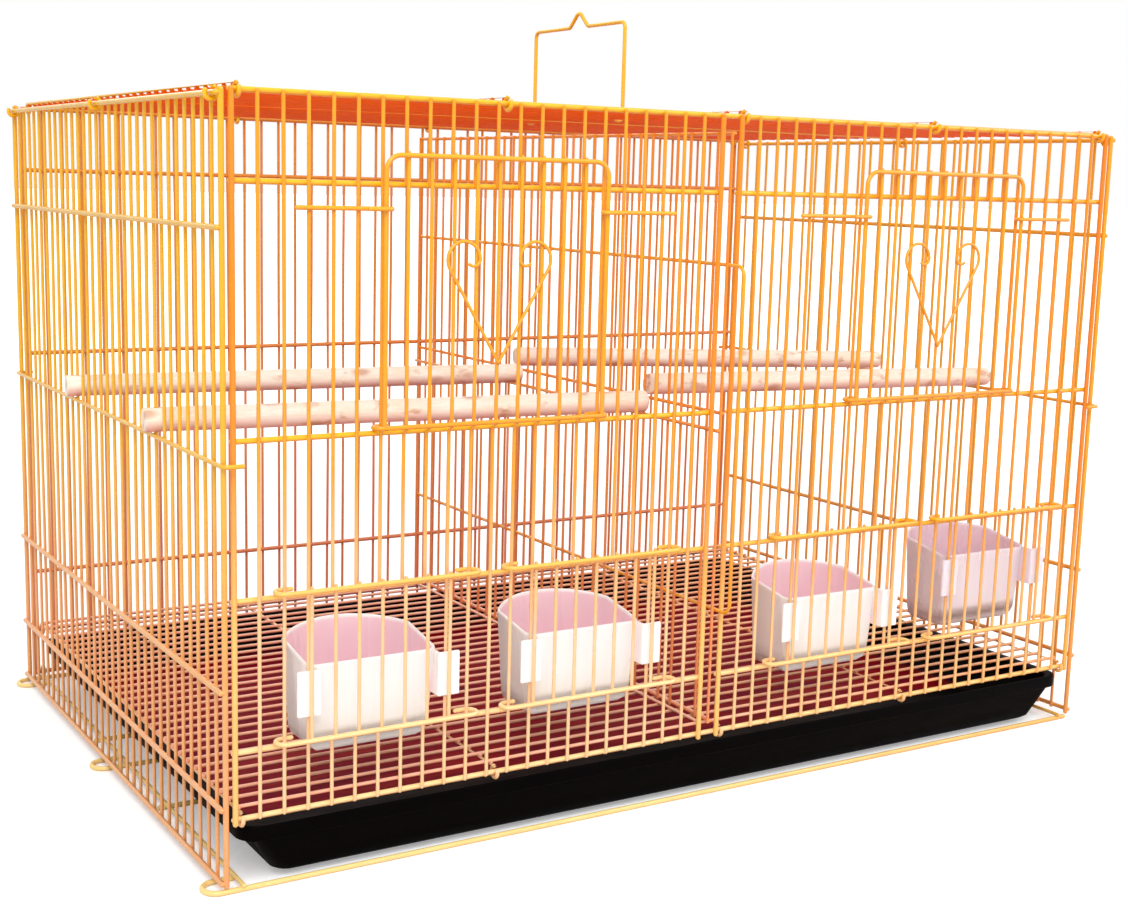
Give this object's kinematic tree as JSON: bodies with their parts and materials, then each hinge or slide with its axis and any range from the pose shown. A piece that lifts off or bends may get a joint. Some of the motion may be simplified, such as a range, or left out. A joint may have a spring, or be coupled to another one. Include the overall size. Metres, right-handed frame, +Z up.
{
  "type": "bird cage",
  "caption": "Folding two-bay wire breeding cage with sliding doors, feeder gates and cups, removable divider, perches, floor grate, pull-out tray and carrying bail.",
  "frame": {"origin": "on the floor, at the underside of the base's middle wire, below the middle of the cage body", "axes": "+X across the width to the right as seen from the front, +Y from front to back, +Z up"},
  "size_m": [0.6287, 0.4217, 0.4695],
  "materials": {
    "panel_wire": "glossy yellow-orange plastic-dipped steel wire",
    "grate_wire": "glossy salmon-orange coated steel wire",
    "cup_plastic": "glossy white moulded plastic",
    "cup_tinted_plastic": "translucent pale lilac moulded plastic",
    "tray_plastic": "glossy near-black moulded plastic",
    "perch_wood": "bare pale turned wood"
  },
  "bodies": {
    "cage_shell": {"top_panel": "panel_wire", "front_panel": "panel_wire", "door_guides": "panel_wire", "back_panel": "panel_wire", "floor_grate": "grate_wire", "divider_track": "grate_wire", "base_frame": "panel_wire"},
    "side_panel_left": {"side_panel_left": "panel_wire"},
    "side_panel_right": {"side_panel_right": "panel_wire"},
    "main_door_left": {"main_door_left": "panel_wire", "door_heart_left": "panel_wire"},
    "main_door_right": {"main_door_right": "panel_wire", "door_heart_right": "panel_wire"},
    "feeder_gate_1": {"feeder_gate_1": "panel_wire"},
    "feeder_gate_2": {"feeder_gate_2": "panel_wire"},
    "feeder_gate_3": {"feeder_gate_3": "panel_wire"},
    "feeder_gate_4": {"feeder_gate_4": "panel_wire"},
    "feed_cup_1": {"feed_cup_1": "cup_plastic"},
    "feed_cup_2": {"feed_cup_2": "cup_plastic"},
    "feed_cup_3": {"feed_cup_3": "cup_plastic"},
    "feed_cup_4": {"feed_cup_4": "cup_tinted_plastic"},
    "divider": {"divider": "panel_wire"},
    "tray": {"tray": "tray_plastic"},
    "handle": {"handle": "panel_wire"},
    "perch_1": {"perch_1": "perch_wood"},
    "perch_2": {"perch_2": "perch_wood"},
    "perch_3": {"perch_3": "perch_wood"},
    "perch_4": {"perch_4": "perch_wood"}
  },
  "joints": [
    {"name": "side_left_swing", "type": "hinge", "parent": "cage_shell", "child": "side_panel_left", "pos_m": [-0.3072, 0, 0.3964], "axis": [0, 1, 0], "range_deg": [0, 90]},
    {"name": "side_right_swing", "type": "hinge", "parent": "cage_shell", "child": "side_panel_right", "pos_m": [0.3072, 0, 0.3964], "axis": [0, -1, 0], "range_deg": [0, 90]},
    {"name": "main_door_left_lift", "type": "slide", "parent": "cage_shell", "child": "main_door_left", "axis": [0, 0, 1], "range_m": [0, 0.107]},
    {"name": "main_door_right_lift", "type": "slide", "parent": "cage_shell", "child": "main_door_right", "axis": [0, 0, 1], "range_m": [0, 0.107]},
    {"name": "feeder_gate_1_lift", "type": "slide", "parent": "cage_shell", "child": "feeder_gate_1", "axis": [0, 0, 1], "range_m": [0, 0.071]},
    {"name": "feeder_gate_2_lift", "type": "slide", "parent": "cage_shell", "child": "feeder_gate_2", "axis": [0, 0, 1], "range_m": [0, 0.071]},
    {"name": "feeder_gate_3_lift", "type": "slide", "parent": "cage_shell", "child": "feeder_gate_3", "axis": [0, 0, 1], "range_m": [0, 0.071]},
    {"name": "feeder_gate_4_lift", "type": "slide", "parent": "cage_shell", "child": "feeder_gate_4", "axis": [0, 0, 1], "range_m": [0, 0.071]},
    {"name": "feed_cup_1_height", "type": "slide", "parent": "cage_shell", "child": "feed_cup_1", "axis": [0, 0, 1], "range_m": [0, 0.014]},
    {"name": "feed_cup_2_height", "type": "slide", "parent": "cage_shell", "child": "feed_cup_2", "axis": [0, 0, 1], "range_m": [0, 0.014]},
    {"name": "feed_cup_3_height", "type": "slide", "parent": "cage_shell", "child": "feed_cup_3", "axis": [0, 0, 1], "range_m": [0, 0.014]},
    {"name": "feed_cup_4_height", "type": "slide", "parent": "cage_shell", "child": "feed_cup_4", "axis": [0, 0, 1], "range_m": [-0.014, 0]},
    {"name": "divider_slide", "type": "slide", "parent": "cage_shell", "child": "divider", "axis": [0, -1, 0], "range_m": [0, 0.4]},
    {"name": "tray_slide", "type": "slide", "parent": "cage_shell", "child": "tray", "axis": [0, -1, 0], "range_m": [0, 0.35]},
    {"name": "handle_fold", "type": "hinge", "parent": "cage_shell", "child": "handle", "pos_m": [0.0035, -0.0129, 0.40165], "axis": [0, 1, 0], "range_deg": [-85, 85]},
    {"name": "perch_1_lift", "type": "slide", "parent": "cage_shell", "child": "perch_1", "axis": [0, 0, 1], "range_m": [0, 0.05]},
    {"name": "perch_2_lift", "type": "slide", "parent": "cage_shell", "child": "perch_2", "axis": [0, 0, 1], "range_m": [0, 0.05]},
    {"name": "perch_3_lift", "type": "slide", "parent": "cage_shell", "child": "perch_3", "axis": [0, 0, 1], "range_m": [0, 0.05]},
    {"name": "perch_4_lift", "type": "slide", "parent": "cage_shell", "child": "perch_4", "axis": [0, 0, 1], "range_m": [0, 0.05]}
  ]
}
